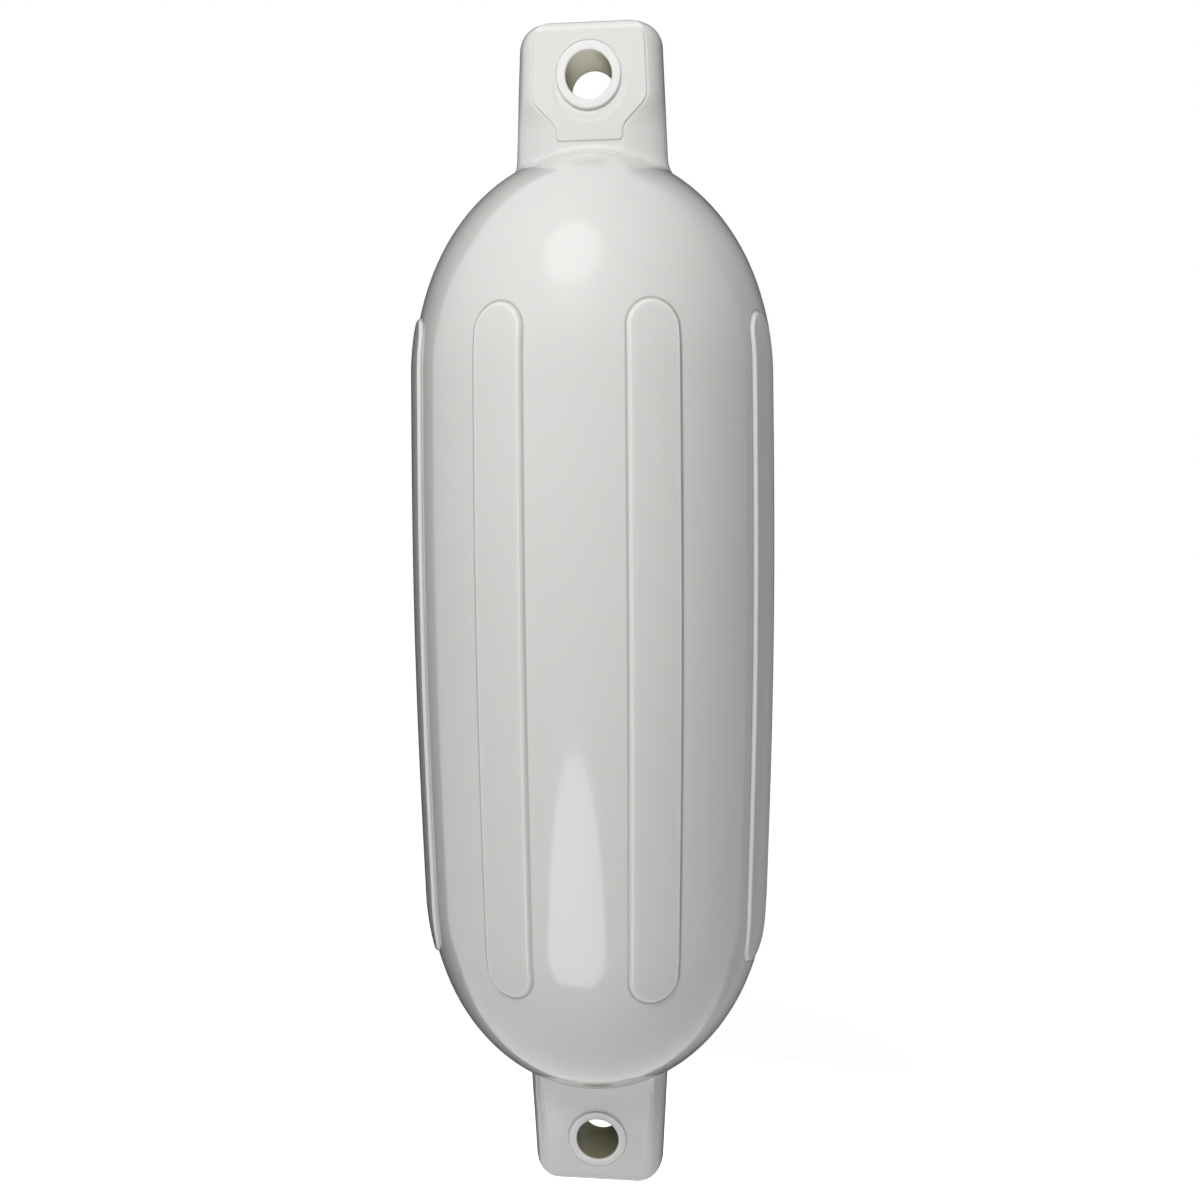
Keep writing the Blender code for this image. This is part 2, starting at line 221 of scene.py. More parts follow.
def glossy_vinyl():
    """White plasticised vinyl out of a polished mould: glossy, with a faint orange peel and cloudy rubs.

    Painted shade lies along the foot of each rib as a dark line. The edges of the ribs, the upper pad and the
    rims are painted paler as painted highlights, and a fine parting line runs down both sides. The cored eyes
    are painted creamier as warm painted shade, and the lower one darker olive as painted shade.
    """
    clean_white = (0.80, 0.80, 0.78, 1.0)
    rubbed_white = (0.785, 0.79, 0.765, 1.0)
    speck_grey = (0.70, 0.69, 0.65, 1.0)
    # Painted highlight: the paler colour painted on the edges of ribs, upper pad and rims.
    painted_highlight_white = (0.90, 0.90, 0.885, 1.0)
    # Painted shade: the colour of the dark line painted along the foot of each rib.
    painted_shade_grey = (0.16, 0.16, 0.14, 1.0)
    # Painted warm shade: the creamier tones painted inside the eyes' bores.
    painted_bore_shade_cream = (0.79, 0.775, 0.66, 1.0)
    painted_bore_shade_pale = (0.84, 0.825, 0.73, 1.0)
    # Painted shade: the dark olive painted inside the lower eye's bore.
    painted_shade_olive = (0.33, 0.32, 0.22, 1.0)
    # How far the painted shade at the rib feet goes towards that dark colour.
    full_foot_shade = 0.55
    parting_width = 0.0006
    material = bpy.data.materials.new("glossy white vinyl")
    material.use_nodes = True
    nodes, links = material.node_tree.nodes, material.node_tree.links
    shader = nodes["Principled BSDF"]
    shader.inputs["IOR"].default_value = 1.48
    shader.inputs["Specular IOR Level"].default_value = 0.25
    shader.inputs["Coat Weight"].default_value = 0.8
    shader.inputs["Coat Roughness"].default_value = 0.08
    shader.inputs["Subsurface Weight"].default_value = 0.10
    shader.inputs["Subsurface Radius"].default_value = (1.0, 0.9, 0.7)
    shader.inputs["Subsurface Scale"].default_value = 0.003
    place = nodes.new("ShaderNodeTexCoord").outputs["Object"]

    def noise(scale, detail):
        made = nodes.new("ShaderNodeTexNoise")
        made.inputs["Scale"].default_value = scale
        made.inputs["Detail"].default_value = detail
        links.new(place, made.inputs["Vector"])
        return made.outputs["Fac"]

    def ranged(value, low, high, to_low, to_high):
        made = nodes.new("ShaderNodeMapRange")
        links.new(value, made.inputs["Value"])
        made.inputs["From Min"].default_value = low
        made.inputs["From Max"].default_value = high
        made.inputs["To Min"].default_value = to_low
        made.inputs["To Max"].default_value = to_high
        return made.outputs["Result"]

    def blend(share, first, second):
        made = nodes.new("ShaderNodeMix")
        made.data_type = "RGBA"
        links.new(share, made.inputs["Factor"])
        for value, socket in ((first, made.inputs["A"]), (second, made.inputs["B"])):
            if isinstance(value, tuple):
                socket.default_value = value
            else:
                links.new(value, socket)
        return made.outputs["Result"]

    def moulded(name):
        made = nodes.new("ShaderNodeAttribute")
        made.attribute_name = name
        return made.outputs["Fac"]

    clouds, grit, mottle, sheen = noise(9.0, 2.0), noise(900.0, 2.0), noise(160.0, 4.0), noise(14.0, 2.0)
    white = blend(ranged(clouds, 0.3, 0.7, 0.0, 1.0), rubbed_white, clean_white)
    specked = blend(ranged(grit, 0.70, 0.80, 0.0, 0.25), white, speck_grey)
    # Painted highlight: the edges of the ribs, the upper pad and the rims are painted paler.
    edge_highlighted = blend(moulded("edge line"), specked, painted_highlight_white)
    # Painted shade: a dark line is painted along the foot of each rib.
    foot_shaded = blend(ranged(moulded("foot line"), 0.0, 1.0, 0.0, full_foot_shade), edge_highlighted, painted_shade_grey)
    # Painted warm shade inside both eyes' bores, mottled between two creamy tones.
    bore_shading = blend(ranged(mottle, 0.35, 0.65, 0.0, 1.0), painted_bore_shade_cream, painted_bore_shade_pale)
    # Painted shade: the lower eye's bore is painted dark olive.
    lower_bore_painted_shade = blend(moulded("lower_bore_painted_shade"), bore_shading, painted_shade_olive)
    links.new(blend(moulded("cored"), foot_shaded, lower_bore_painted_shade), shader.inputs["Base Color"])
    links.new(ranged(sheen, 0.3, 0.7, 0.22, 0.27), shader.inputs["Roughness"])

    peel = nodes.new("ShaderNodeBump")
    peel.inputs["Strength"].default_value = 0.10
    peel.inputs["Distance"].default_value = 0.0002
    links.new(noise(330.0, 2.0), peel.inputs["Height"])
    split = nodes.new("ShaderNodeSeparateXYZ")
    links.new(place, split.inputs[0])
    beside = nodes.new("ShaderNodeMath")
    beside.operation = "ABSOLUTE"
    links.new(split.outputs[1], beside.inputs[0])
    parting = nodes.new("ShaderNodeBump")
    parting.inputs["Strength"].default_value = 0.35
    parting.inputs["Distance"].default_value = 0.0002
    links.new(ranged(beside.outputs[0], 0.0, parting_width, 1.0, 0.0), parting.inputs["Height"])
    links.new(peel.outputs["Normal"], parting.inputs["Normal"])
    links.new(parting.outputs["Normal"], shader.inputs["Normal"])
    return material


vinyl = glossy_vinyl()
barrel_mesh = made_by_nodes(sector_sheet(), ribbed_barrel_tree(), {
    "Barrel radius": barrel_radius, "Barrel half length": barrel_half, "Dome depth": dome_depth,
    "Swell": swell, "Swell reach": swell_reach, "Rib height": rib_height, "Rib half width": rib_half_width,
    "Rib straight half length": rib_end - rib_half_width, "Rib wall": rib_wall,
    "Rib count": rib_count, "Vinyl": vinyl})

# The two ends. Each dome runs through a fillet into a flat lug with rounded sides, moulded in one with the
# barrel. A shield-shaped pad stands proud of both faces of the upper lug, and narrows above the dome. On the
# lower lug the pad is wide down to its foot and nearly level.
lug_tip = overall_length / 2
tip_half_width = 0.0322
side_taper = 0.048
lug_half_thickness = 0.0130
corner_radius = 0.0095
edge_radius = 0.0048
side_fillet = 0.014
face_fillet = 0.004
first_guess_of_top = 0.222
pad_margin = 0.0078
upper_face = {"rise": 0.0008, "foot": 0.0150, "turn": math.radians(25), "rim": 0.0008, "dish": 0.0006}
lower_face = {"rise": 0.0001, "foot": 0.0275, "turn": math.radians(2), "rim": 0.0004, "dish": 0.0}
pad_edge = 0.0008
pad_foot = 0.2275
pad_top = 0.2750
shoulder_low = 0.2315
shoulder_high = 0.2475
eye_height = -mid_height
block_below_eye = 0.0202
block_above_eye = 0.0170
columns = rib_count * steps_across
dome_steps = 22
fillet_steps = 12
neck_steps = 4
pad_edge_steps = 8
below_block_steps = 6
block_steps = 22
above_block_steps = 3
tip_edge_steps = 13
tip_steps = 6
flat_stations = 32
edge_stations = 8
quarter = columns // 4
side_stations = quarter - flat_stations - edge_stations


def smooth(share):
    share = np.clip(share, 0.0, 1.0)
    return share * share * (3 - 2 * share)


def rounded_off(height, radius):
    """How far a rounding of the lug's tip has drawn its outline in at this height."""
    above = np.clip(height - (lug_tip - radius), 0.0, radius)
    return radius - np.sqrt(radius ** 2 - above ** 2)


def pad_half_width(height, face):
    full = tip_half_width + side_taper * (lug_tip - height) - rounded_off(height, corner_radius) - pad_margin
    share = smooth((height - shoulder_low) / (shoulder_high - shoulder_low))
    return face["foot"] + (full - face["foot"]) * share


def pad_lift(across, height, face):
    """How far the lug's face stands out for its pad, from 0 beside it to the pad's full rise."""
    corner = 0.002
    from_side = pad_half_width(height, face) - across
    from_end = np.minimum(pad_top - height, height - pad_foot)
    into_corner = np.hypot(np.maximum(corner - from_side, 0.0), np.maximum(corner - from_end, 0.0))
    inside = np.where((from_side < corner) & (from_end < corner), corner - into_corner,
                      np.minimum(from_side, from_end))
    return face["rise"] * smooth(inside / pad_edge + 0.5)


def lug_section(height, face):
    """A quarter of the lug's outline at these heights, from mid-face to mid-side: (across, depth).

    The heights have one column for each station of the quarter.
    """
    station = np.arange(quarter + 1)
    flat = pad_half_width(height, face)
    half_width = tip_half_width + side_taper * (lug_tip - height) - rounded_off(height, corner_radius)
    half_depth = lug_half_thickness - face["rise"] - rounded_off(height, edge_radius)
    on_flat = (flat - pad_edge) * station / flat_stations
    on_edge = flat - pad_edge + 2 * pad_edge * (station - flat_stations) / edge_stations
    side_share = np.clip((station - flat_stations - edge_stations) / side_stations, 0.0, 1.0)
    turn = face["turn"] + (math.pi / 2 - face["turn"]) * side_share
    side_start = flat + pad_edge
    start_share = math.sin(face["turn"])
    on_side = side_start + (half_width - side_start) * (np.sin(turn) - start_share) / (1 - start_share)
    flat_part = station < flat_stations
    edge_part = station < flat_stations + edge_stations
    across = np.select([flat_part, edge_part], [on_flat, on_edge], on_side)
    depth = half_depth * np.cos(turn) / math.cos(face["turn"])
    fade = 1 - rounded_off(height, edge_radius) / edge_radius
    return across, depth + pad_lift(across, height, face) * fade * (side_share == 0.0)


def outward_of_section(across, depth):
    """Which way the lug's outline faces at each station, in plan."""
    along_x, along_y = np.gradient(across), np.gradient(depth)
    along_x[0], along_y[0] = 1.0, 0.0
    along_x[-1], along_y[-1] = 0.0, -1.0
    size = np.hypot(along_x, along_y)
    return -along_y / size, along_x / size


def fillet_arc(face):
    """Solves where the fillet leaves the lug and lands flush on the dome, station by station."""
    rounds = 40
    beside_pad = np.arange(quarter + 1) - flat_stations - edge_stations
    fillet = face_fillet + (side_fillet - face_fillet) * smooth(beside_pad / side_stations)
    top = np.full(quarter + 1, first_guess_of_top)
    angle = np.full(quarter + 1, math.pi / 3)
    for _ in range(rounds):
        across, depth = lug_section(top, face)
        out_x, out_y = outward_of_section(across, depth)
        start_angle = np.arctan(side_taper * out_x)
        reach = fillet * (np.cos(start_angle) - np.cos(angle))
        x, y = across + reach * out_x, depth + reach * out_y
        radius = np.hypot(x, y)
        share = radius / barrel_radius
        dome_slope = dome_depth / barrel_radius * share / np.sqrt(1 - share ** 2)
        slope = dome_slope * (x * out_x + y * out_y) / radius
        angle = np.arctan2(1.0, slope)
        landing = barrel_half + dome_depth * np.sqrt(1 - share ** 2)
        top = landing + fillet * (np.sin(angle) - np.sin(start_angle))
    return top, angle, start_angle, fillet, out_x, out_y


def full_ring(across, depth, height):
    """The whole outline, column by column round the fender, from a quarter of it."""
    index = np.arange(columns)
    station = quarter - np.abs(quarter - index % (2 * quarter))
    x = np.where(index <= 2 * quarter, 1, -1) * across[station]
    y = np.where((index <= quarter) | (index >= 3 * quarter), -1, 1) * depth[station]
    return np.column_stack([x, y, height[station]])


def dome_rings(landing_ring, steps):
    """Rings up the dome, from the barrel's sheets to where the fillet lands, closer together near it."""
    start_tilt = math.acos((sheet_end - barrel_half) / dome_depth)
    start_turn = 2 * np.pi * np.arange(columns) / columns
    end_tilt = np.arcsin(np.hypot(landing_ring[:, 0], landing_ring[:, 1]) / barrel_radius)
    end_turn = np.arctan2(landing_ring[:, 0], -landing_ring[:, 1]) % (2 * np.pi)
    rings = []
    for step in range(steps):
        share = 1 - (1 - step / steps) ** 1.5
        tilt = start_tilt + (end_tilt - start_tilt) * share
        turn = start_turn + (end_turn - start_turn) * smooth(share)
        radius = barrel_radius * np.sin(tilt)
        rings.append(np.column_stack([radius * np.sin(turn), -radius * np.cos(turn),
                                      barrel_half + dome_depth * np.cos(tilt)]))
    return rings


def lug_rings(face):
    """Every ring of one end, from the barrel's sheets to the lug's tip, and which of them the eye breaks."""
    top, angle, start_angle, fillet, out_x, out_y = fillet_arc(face)
    across, depth = lug_section(top, face)
    arc = []
    for step in range(fillet_steps + 1):
        here = angle + (start_angle - angle) * step / fillet_steps
        reach = fillet * (np.cos(start_angle) - np.cos(here))
        drop = fillet * (np.sin(here) - np.sin(start_angle))
        arc.append(full_ring(across + reach * out_x, depth + reach * out_y, top - drop))
    rings = dome_rings(arc[0], dome_steps) + arc
    neck_top = pad_foot - pad_edge
    for step in range(1, neck_steps + 1):
        height = top + (neck_top - top) * step / neck_steps
        rings.append(full_ring(*lug_section(height, face), height))

    block_low, block_high = eye_height - block_below_eye, eye_height + block_above_eye
    levels = list(np.linspace(neck_top, pad_foot + pad_edge, pad_edge_steps + 1)[1:])
    levels += list(np.linspace(pad_foot + pad_edge, block_low, below_block_steps + 1)[1:])
    first_block_ring = len(rings) + len(levels) - 1
    levels += list(np.linspace(block_low, block_high, block_steps + 1)[1:])
    last_block_ring = len(rings) + len(levels) - 1
    levels += list(np.linspace(block_high, pad_top - pad_edge, above_block_steps + 1)[1:])
    levels += list(np.linspace(pad_top - pad_edge, pad_top + pad_edge, pad_edge_steps + 1)[1:])
    start = math.asin((pad_top + pad_edge - (lug_tip - edge_radius)) / edge_radius)
    for turn in np.linspace(start, math.pi / 2, tip_edge_steps + 1)[1:]:
        levels.append(lug_tip - edge_radius + edge_radius * math.sin(turn))
    for level in levels:
        height = np.full(quarter + 1, level)
        rings.append(full_ring(*lug_section(height, face), height))
    across, depth = lug_section(np.full(quarter + 1, lug_tip), face)
    for step in range(1, tip_steps + 1):
        rings.append(full_ring(across, depth * (1 - step / tip_steps), np.full(quarter + 1, lug_tip)))
    return rings, first_block_ring, last_block_ring


# The rope eye. Each lug is cored by a round pin, which leaves a hole with a rounded mouth, a raised rim cut
# off from the pad by a fine groove, and in the upper lug a shallow dish in the pad on the barrel's side.
eye_radius = 0.0104
eye_mouth = 0.0008
rim_radius = 0.0146
rim_shoulder = 0.0007
groove_width = 0.0007
groove_depth = 0.0005
dish_radius = 0.0161
dish_shift = 0.0033
dish_wall = 0.0013
dish_run_out = 0.002
least_land = 0.0004
eye_block_stations = 22


def eye_loops(border, facing, face):
    """Loops of one face, front (-1) or back (1), from the border of its open block in to mid-eye."""
    offset = border[:, [0, 2]] - (0.0, eye_height)
    turn = np.arctan2(offset[:, 1], offset[:, 0])
    level = np.zeros(len(turn))
    border_radius = np.hypot(offset[:, 0], offset[:, 1])
    up = np.sin(turn)
    dish_edge = -dish_shift * up + np.sqrt((dish_shift * up) ** 2 - dish_shift ** 2 + dish_radius ** 2)
    rim_foot = rim_radius + groove_width
    dish = np.maximum(dish_edge, rim_foot + least_land)
    rim_height = face["rim"]
    depth = face["dish"] * smooth((dish_edge - rim_foot) / dish_run_out)
    outer = dish + dish_wall / 2
    wall = np.minimum(dish_wall, outer - rim_foot - least_land / 2)
    loops = []
    for share in (0.2, 0.4, 0.6, 0.8, 1.0):
        loops.append((border_radius + (outer - border_radius) * share, level))
    for share in np.linspace(0, 1, 8)[1:]:
        loops.append((outer - wall * share, -depth * smooth(share)))
    inner = loops[-1][0]
    for share in (0.35, 0.7, 1.0):
        loops.append((inner + (rim_foot - inner) * share, -depth))
    for share in (0.25, 0.5, 0.75, 1.0):
        sunk = groove_depth * math.sin(math.pi * share) ** 2
        loops.append((rim_foot - groove_width * share, -depth - sunk))
    for angle in np.linspace(0, math.pi / 2, 7)[1:]:
        rise = (rim_height + depth) * math.sin(angle) - depth
        loops.append((level + rim_radius - rim_shoulder * (1 - math.cos(angle)), rise))
    rim_outer = rim_radius - rim_shoulder
    rim_inner = eye_radius + eye_mouth
    for share in (0.33, 0.67, 1.0):
        loops.append((level + rim_outer + (rim_inner - rim_outer) * share, level + rim_height))
    for angle in np.linspace(0, math.pi / 2, 7)[1:]:
        radius = rim_inner - eye_mouth * math.sin(angle)
        loops.append((level + radius, level + rim_height - eye_mouth * (1 - math.cos(angle))))
    mouth_radius, mouth_rise = loops[-1]
    for share in (0.2, 0.4, 0.6, 0.8, 1.0):
        loops.append((mouth_radius, mouth_rise - (lug_half_thickness + mouth_rise) * share))
    return [np.column_stack([radius * np.cos(turn), facing * (lug_half_thickness + rise),
                             eye_height + radius * np.sin(turn)]) for radius, rise in loops]


# The valve's seat, moulded in one with the skin: on the back of the upper dome, a low collar that fillets
# into the skin stands round a pocket for the rubber plug.
valve_height = 0.195
collar_radius = 0.0100
collar_height = 0.0010
collar_shoulder = 0.0007
collar_fillet = 0.0022
pocket_radius = 0.0065
pocket_mouth = 0.0004
pocket_depth = 0.0046
valve_clearing = 0.0136
valve_tilt = math.acos((valve_height - barrel_half) / dome_depth)
valve_centre = np.array([0.0, barrel_radius * math.sin(valve_tilt), valve_height])
valve_out = np.array([0.0, math.sin(valve_tilt) / barrel_radius, math.cos(valve_tilt) / dome_depth])
valve_out /= np.linalg.norm(valve_out)
valve_up = np.array([0.0, -valve_out[2], valve_out[1]])


def on_dome(across, along):
    """How far out of the valve's plane the dome lies at these places in that plane."""
    stretch = np.array([1 / barrel_radius, 1 / barrel_radius, 1 / dome_depth])
    start = (valve_centre - (0.0, 0.0, barrel_half)) * stretch
    place = start + np.outer(across, (1.0, 0.0, 0.0)) * stretch + np.outer(along, valve_up) * stretch
    way = valve_out * stretch
    square, middle, rest = way @ way, place @ way, np.sum(place ** 2, axis=1) - 1
    return (-middle + np.sqrt(middle ** 2 - square * rest)) / square


def valve_loops(border):
    """Loops from the border of the dome's open block in to the floor of the pocket."""
    offset = border - valve_centre
    across, along = offset[:, 0], offset @ valve_up
    turn, border_radius = np.arctan2(along, across), np.hypot(across, along)
    across_share, along_share = np.cos(turn), np.sin(turn)
    level = np.zeros(len(turn))
    fillet_edge = collar_radius + collar_fillet
    loops = []
    for share in (0.25, 0.5, 0.75, 1.0):
        radius = border_radius + (fillet_edge - border_radius) * share
        loops.append((radius, on_dome(radius * across_share, radius * along_share)))
    wall_top = collar_height - collar_shoulder
    for share in np.linspace(0, 1, 8)[1:]:
        radius = fillet_edge - collar_fillet * math.sin(share * math.pi / 2)
        skin = on_dome(radius * across_share, radius * along_share)
        rise = (wall_top - skin) * (1 - math.cos(share * math.pi / 2))
        loops.append((level + radius, skin + rise))
    for angle in np.linspace(0, math.pi / 2, 6)[1:]:
        radius = collar_radius - collar_shoulder * (1 - math.cos(angle))
        loops.append((level + radius, level + wall_top + collar_shoulder * math.sin(angle)))
    collar_inner = collar_radius - collar_shoulder
    pocket_edge = pocket_radius + pocket_mouth
    for share in (0.5, 1.0):
        loops.append((level + collar_inner + (pocket_edge - collar_inner) * share, level + collar_height))
    for angle in np.linspace(0, math.pi / 2, 5)[1:]:
        radius = pocket_edge - pocket_mouth * math.sin(angle)
        loops.append((level + radius, level + collar_height - pocket_mouth * (1 - math.cos(angle))))
    for share in (0.5, 1.0):
        loops.append((level + pocket_radius, level - pocket_depth * share))
    loops.append((level + 0.2 * pocket_radius, level - pocket_depth))
    return [valve_centre + np.outer(radius * across_share, (1.0, 0.0, 0.0))
            + np.outer(radius * along_share, valve_up) + np.outer(out, valve_out) for radius, out in loops]


# The whole skin. The fender comes out of its mould in one piece, so the barrel and the two ends, with their
# eyes and the valve's seat, are welded where they meet into one closed skin of vinyl.
seam_gap = 0.00002
shortest_edge = 0.000001


def end_moulding(with_valve, face):
    """Points and faces of one domed end with its lug and eye, pointing up.

    A block is a patch left out of the rings, for the eye's loops in front (-1) and behind (1), or for the
    valve's (0).
    """
    rings, eye_low, eye_high = lug_rings(face)
    points = [point for ring in rings for point in ring]
    back = columns // 2
    blocks = [(eye_low, eye_high, 0, eye_block_stations, -1)]
    blocks.append((eye_low, eye_high, back, eye_block_stations, 1))
    if with_valve:
        along = [(ring[back] - valve_centre) @ valve_up for ring in rings[:dome_steps]]
        valve_low = max(level for level in range(dome_steps) if along[level] < -valve_clearing)
        valve_high = min(level for level in range(dome_steps) if along[level] > valve_clearing)
        top_ring = rings[valve_high]
        clear = [station for station in range(quarter) if top_ring[back - station][0] > valve_clearing]
        blocks.append((valve_low, valve_high, back, clear[0], 0))
    faces = []
    for level in range(len(rings) - 1):
        for index in range(columns):
            if any(low <= level < high and (index - side + wide) % columns < 2 * wide
                   for low, high, side, wide, facing in blocks):
                continue
            following = (index + 1) % columns
            lower, upper = level * columns, (level + 1) * columns
            faces.append((lower + index, lower + following, upper + following, upper + index))
    for low, high, side, wide, facing in blocks:
        edge = [(low, station) for station in range(-wide, wide)]
        edge += [(level, wide) for level in range(low, high)]
        edge += [(high, station) for station in range(wide, -wide, -1)]
        edge += [(level, -wide) for level in range(high, low, -1)]
        loop = [level * columns + (side + station) % columns for level, station in edge]
        border = np.array([points[index] for index in loop])
        for inner in (eye_loops(border, facing, face) if facing else valve_loops(border)):
            new_loop = list(range(len(points), len(points) + len(loop)))
            points += list(inner)
            for index in range(len(loop)):
                following = (index + 1) % len(loop)
                faces.append((loop[index], loop[following], new_loop[following], new_loop[index]))
            loop = new_loop
        if not facing:
            faces.append(tuple(loop))
    return np.array(points), faces


def moulding_lines(places):
    """Masks for the painted shade where the feet of the ribs run, and for the painted highlights on the edges
    of
    ribs, upper pad and rims: 1 there, fading beside.
    """
    height = np.abs(places[:, 2] - mid_height)
    sector = 2 * math.pi / rib_count
    turn = np.arctan2(places[:, 0], -places[:, 1]) / sector - 0.5
    across = (turn - np.round(turn)) * sector * barrel_radius
    to_line = np.hypot(across, np.maximum(height - rib_end + rib_half_width, 0.0))
    foot_line = np.exp(-((to_line - rib_half_width) / foot_line_width) ** 2)
    edge_line = np.exp(-((to_line - rib_half_width + rib_wall) / edge_line_width) ** 2)
    from_eye = np.hypot(places[:, 0], height - eye_height)
    edge_line += (from_eye > eye_radius + 0.5 * eye_mouth) & (from_eye < rim_radius - 0.5 * rim_shoulder)
    pad = pad_lift(np.abs(places[:, 0]), height, upper_face) / upper_face["rise"]
    pad = pad * (places[:, 2] > mid_height)
    face_depth = lug_half_thickness - upper_face["rise"] - 0.0001
    on_face = (height > pad_foot - pad_edge) & (np.abs(places[:, 1]) > face_depth)
    return foot_line, edge_line + np.where(on_face, 4 * pad * (1 - pad), 0.0)


def moulded_in_one():
    """The barrel and both ends welded into one closed skin, at its place in the part's frame."""
    skin = bmesh.new()
    skin.from_mesh(barrel_mesh)
    for mirror, face in ((1, upper_face), (-1, lower_face)):
        end_points, end_faces = end_moulding(mirror == 1, face)
        corners = [skin.verts.new((x, y, mirror * z)) for x, y, z in end_points]
        for end_face in end_faces:
            skin.faces.new([corners[index] for index in end_face])
    bmesh.ops.remove_doubles(skin, verts=skin.verts, dist=seam_gap)
    bmesh.ops.dissolve_degenerate(skin, edges=skin.edges, dist=shortest_edge)
    bmesh.ops.recalc_face_normals(skin, faces=skin.faces)
    bmesh.ops.translate(skin, verts=skin.verts, vec=(0.0, 0.0, mid_height))
    mesh = bpy.data.meshes.new("fender skin")
    skin.to_mesh(mesh)
    skin.free()
    mesh.materials.clear()
    mesh.materials.append(vinyl)
    mesh.shade_smooth()
    places = np.array([point.co for point in mesh.vertices])
    # The eyes' bores get painted warm shade, and the lower one darker painted shade as well.
    from_eye = np.hypot(places[:, 0], np.abs(places[:, 2] - mid_height) - eye_height)
    cored = smooth((eye_radius + 0.7 * eye_mouth - from_eye) / (0.5 * eye_mouth))
    # Painted shade: a mask for the dark olive painted in the lower eye's bore.
    lower_bore_painted_shade = cored * (places[:, 2] < mid_height)
    foot_line, edge_line = moulding_lines(places)
    marks = {"cored": cored, "lower_bore_painted_shade": lower_bore_painted_shade, "foot line": foot_line, "edge line": edge_line}
    for name, values in marks.items():
        mesh.attributes.new(name, "FLOAT", "POINT").data.foreach_set("value", values)
    made = bpy.data.objects.new("fender_skin", mesh)
    bpy.context.scene.collection.objects.link(made)
    return made


fender_skin = moulded_in_one()
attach(fender_skin, "root")
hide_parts("fender_body")

# The inflation valve at the back: a soft rubber plug pressed into its pocket, with a funnel for the needle.
# The grey rubber is matt, and mottled with bloom. The plug keeps the shape of its solid.
rubber_grey = (0.36, 0.36, 0.35, 1.0)
bloom_grey = (0.50, 0.50, 0.48, 1.0)


def matt_rubber():
    material = bpy.data.materials.new("matt grey rubber")
    material.use_nodes = True
    nodes, links = material.node_tree.nodes, material.node_tree.links
    shader = nodes["Principled BSDF"]
    place = nodes.new("ShaderNodeTexCoord").outputs["Object"]
    bloom = nodes.new("ShaderNodeTexNoise")
    bloom.inputs["Scale"].default_value = 500.0
    bloom.inputs["Detail"].default_value = 5.0
    links.new(place, bloom.inputs["Vector"])
    shade = nodes.new("ShaderNodeMix")
    shade.data_type = "RGBA"
    shade.inputs["A"].default_value = rubber_grey
    shade.inputs["B"].default_value = bloom_grey
    links.new(bloom.outputs["Fac"], shade.inputs["Factor"])
    links.new(shade.outputs["Result"], shader.inputs["Base Color"])
    shader.inputs["Roughness"].default_value = 0.6
    grain = nodes.new("ShaderNodeTexNoise")
    grain.inputs["Scale"].default_value = 2500.0
    links.new(place, grain.inputs["Vector"])
    bump = nodes.new("ShaderNodeBump")
    bump.inputs["Strength"].default_value = 0.3
    bump.inputs["Distance"].default_value = 0.0001
    links.new(grain.outputs["Fac"], bump.inputs["Height"])
    links.new(bump.outputs["Normal"], shader.inputs["Normal"])
    return material


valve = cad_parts["inflation_valve"]
valve.data.materials.clear()
valve.data.materials.append(matt_rubber())

# The studio: a sweep of white paper under the hung fender, a white surround, and soft lamps. Three light the
# front, its top and the back. Two more are for the gloss, where they show as the round spot on the upper dome
# and as the tall flame low on the barrel.
sweep_width = 8.0
sweep_height = -0.95
sweep_lift = 0.85
sweep_far_lift = 1.0
lift_start = 0.5
lift_end = 1.8
paper_white = (0.8, 0.8, 0.8, 1.0)
plain_white = (1.0, 1.0, 1.0, 1.0)
surround_strength = 0.06
backdrop_strength = 1.0


def seen_directly(nodes, links):
    """1 for a ray from the camera, a glossy reflection or glass, which see the studio white, 0 for others."""
    path = nodes.new("ShaderNodeLightPath")
    share = path.outputs["Is Camera Ray"]
    for name in ("Is Glossy Ray", "Is Transmission Ray"):
        either = nodes.new("ShaderNodeMath")
        either.operation = "MAXIMUM"
        links.new(share, either.inputs[0])
        links.new(path.outputs[name], either.inputs[1])
        share = either.outputs[0]
    return share


def white_sweep():
    """White paper. What is seen of it directly is lifted to white, and keeps the shadow on it."""
    material = bpy.data.materials.new("white sweep")
    material.use_nodes = True
    nodes, links = material.node_tree.nodes, material.node_tree.links
    nodes.clear()
    output = nodes.new("ShaderNodeOutputMaterial")
    paper = nodes.new("ShaderNodeBsdfDiffuse")
    paper.inputs["Color"].default_value = paper_white
    lift = nodes.new("ShaderNodeEmission")
    place = nodes.new("ShaderNodeTexCoord")
    outward = nodes.new("ShaderNodeVectorMath")
    outward.operation = "LENGTH"
    links.new(place.outputs["Object"], outward.inputs[0])
    paling = nodes.new("ShaderNodeMapRange")
    links.new(outward.outputs["Value"], paling.inputs["Value"])
    paling.inputs["From Min"].default_value = lift_start
    paling.inputs["From Max"].default_value = lift_end
    paling.inputs["To Min"].default_value = sweep_lift
    paling.inputs["To Max"].default_value = sweep_far_lift
    strength = nodes.new("ShaderNodeMath")
    strength.operation = "MULTIPLY"
    links.new(seen_directly(nodes, links), strength.inputs[0])
    links.new(paling.outputs["Result"], strength.inputs[1])
    links.new(strength.outputs[0], lift.inputs["Strength"])
    both = nodes.new("ShaderNodeAddShader")
    links.new(paper.outputs[0], both.inputs[0])
    links.new(lift.outputs[0], both.inputs[1])
    links.new(both.outputs[0], output.inputs[0])
    return material


bpy.ops.mesh.primitive_plane_add(size=sweep_width, location=(0.0, 0.0, sweep_height))
floor = bpy.context.object
floor.name = "floor"
floor.data.materials.append(white_sweep())

